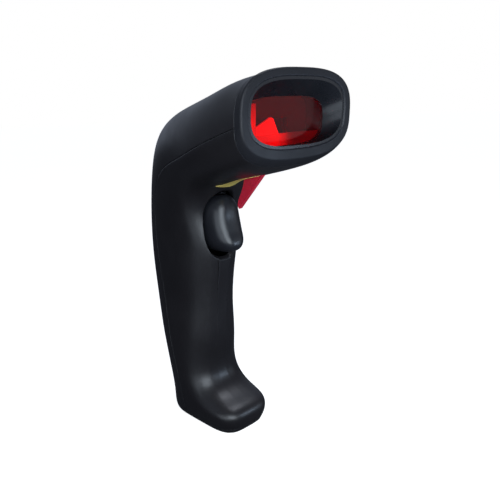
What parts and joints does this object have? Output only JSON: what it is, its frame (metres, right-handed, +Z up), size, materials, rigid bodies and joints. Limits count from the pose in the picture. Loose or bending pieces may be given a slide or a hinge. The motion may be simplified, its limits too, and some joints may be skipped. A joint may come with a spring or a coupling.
{
  "type": "handheld barcode scanner",
  "caption": "Pistol-grip barcode scanner with a recessed red window in a flared nose, a sprung trigger, a flared foot and a data socket.",
  "frame": {"origin": "on the flat underside of the foot, below the axis of the grip and on the symmetry plane", "axes": "+Z up along the grip, -Y out of the nose, X across the width"},
  "size_m": [0.064, 0.0976, 0.1688],
  "materials": {
    "housing_black": "fine satin texture, moulded ABS",
    "bezel_black": "satin moulded ABS",
    "hood_black": "smooth semi-gloss",
    "window_red": "clear red acrylic, polished",
    "foam_black": "closed-cell foam",
    "lamp_red": "red-lit translucent diffuser",
    "led_red": "clear epoxy LED",
    "circuit_board": "green solder mask",
    "chassis_black": "glass-filled nylon",
    "lens_metal": "black anodised",
    "lens_glass": "coated glass",
    "chip_black": "moulded epoxy",
    "screw_steel": "zinc plated",
    "trigger_black": "smooth satin ABS",
    "pin_steel": "ground pin",
    "spring_steel": "drawn wire",
    "plunger_plastic": "natural acetal",
    "lens_red": "red polycarbonate",
    "crystal_can": "nickel plated can",
    "connector_white": "nylon",
    "ribbon_film": "polyimide film",
    "socket_black": "moulded PBT",
    "contact_gold": "gold flash",
    "shield_tin": "tinned sheet"
  },
  "bodies": {
    "housing": {"front_shell": "housing_black", "rear_shell": "housing_black", "nose_bezel": "bezel_black", "window_hood": "hood_black", "scan_window": "window_red", "window_gasket": "foam_black", "lamp_diffuser": "lamp_red", "marker_prism": "lamp_red", "lamp_board": "circuit_board", "lamp_leds": "led_red", "baffle": "hood_black", "optics_chassis": "chassis_black", "lens_barrel": "lens_metal", "lens_elements": "lens_glass", "lens_lock_ring": "lens_metal", "line_sensor": "chip_black", "sensor_board": "circuit_board", "optics_screws": "screw_steel", "trigger_pin": "pin_steel", "trigger_frame": "chassis_black", "trigger_spring": "spring_steel", "switch_board": "circuit_board", "trigger_switch": "chip_black", "indicator_lens": "lens_red", "indicator_board": "circuit_board", "indicator_led": "led_red", "main_board": "circuit_board", "processor": "chip_black", "memory_chip": "chip_black", "crystal": "crystal_can", "beeper": "chip_black", "beeper_seal": "foam_black", "ribbon_header": "connector_white", "sensor_header": "connector_white", "ribbon_cable": "ribbon_film", "grip_end_cap": "housing_black", "data_socket": "socket_black", "socket_contacts": "contact_gold", "socket_shield": "shield_tin", "housing_screws": "screw_steel"},
    "trigger": {"trigger": "trigger_black"},
    "plunger": {"switch_plunger": "plunger_plastic"}
  },
  "joints": [
    {"name": "trigger_pull", "type": "hinge", "parent": "housing", "child": "trigger", "pos_m": [0, -0.008, 0.1125], "axis": [1, 0, 0], "range_deg": [0, 3], "stiffness_Nm_per_rad": 0.5, "springref_deg": -6.88, "deforming": ["trigger_spring"]},
    {"name": "plunger_push", "type": "slide", "parent": "housing", "child": "plunger", "axis": [0, 1, 0], "range_m": [0, 0.001]}
  ],
  "couplings": [
    {"joint": "plunger_push", "follows": "trigger_pull", "m_per_rad": 0.0185}
  ]
}
